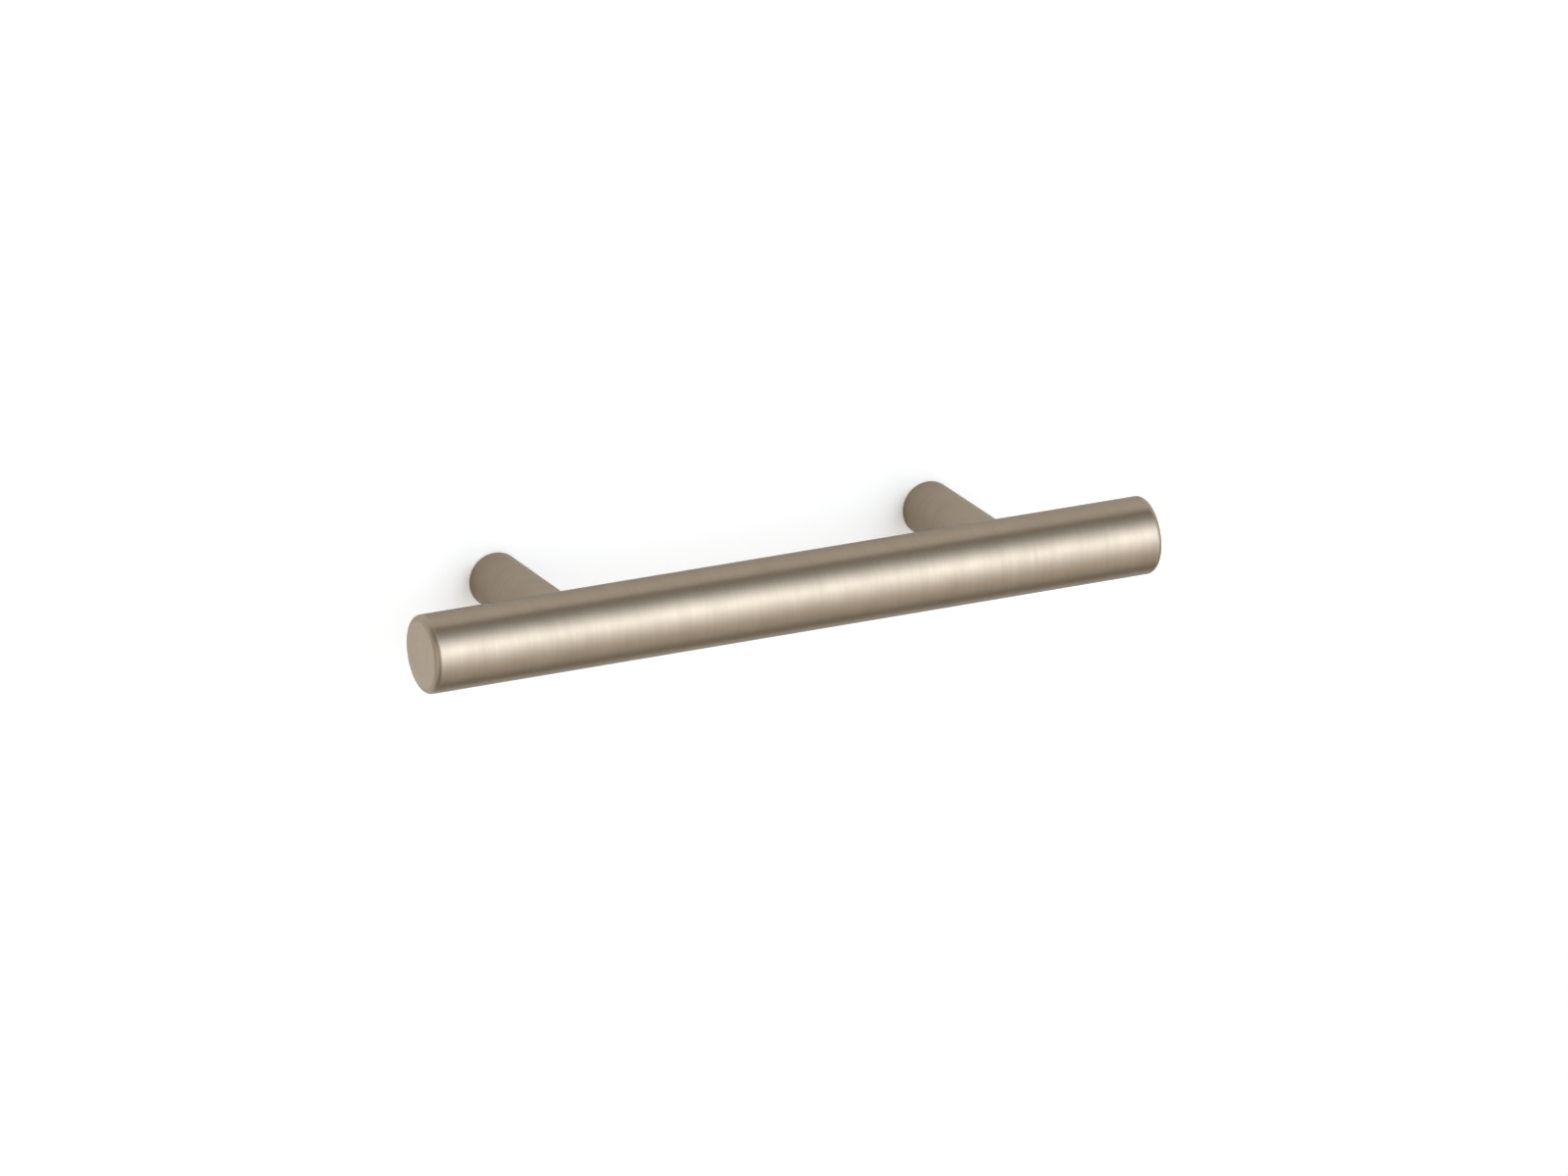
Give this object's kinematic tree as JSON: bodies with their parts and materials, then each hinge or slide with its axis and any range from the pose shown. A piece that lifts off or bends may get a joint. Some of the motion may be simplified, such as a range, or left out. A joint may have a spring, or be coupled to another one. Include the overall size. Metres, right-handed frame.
{
  "type": "cabinet pull",
  "caption": "Straight round bar pull on two round posts, brushed bronze finish, screwed on from behind through the door or drawer front.",
  "frame": {"origin": "on the mounting surface, midway between the two post feet, under the middle of the bar", "axes": "+X along the bar to the viewer's right, +Z straight out of the mounting surface towards the hand, +Y across the bar, up in the picture"},
  "size_m": [0.127, 0.0126, 0.0349],
  "materials": {
    "brushed_bronze": "warm champagne bronze, finely brushed round the rod, lacquered satin",
    "zinc_plated_steel": "plain zinc plate"
  },
  "bodies": {
    "root": {"bar": "brushed_bronze", "post_left": "brushed_bronze", "post_right": "brushed_bronze", "joining_stud_left": "zinc_plated_steel", "joining_stud_right": "zinc_plated_steel"}
  },
  "joints": []
}
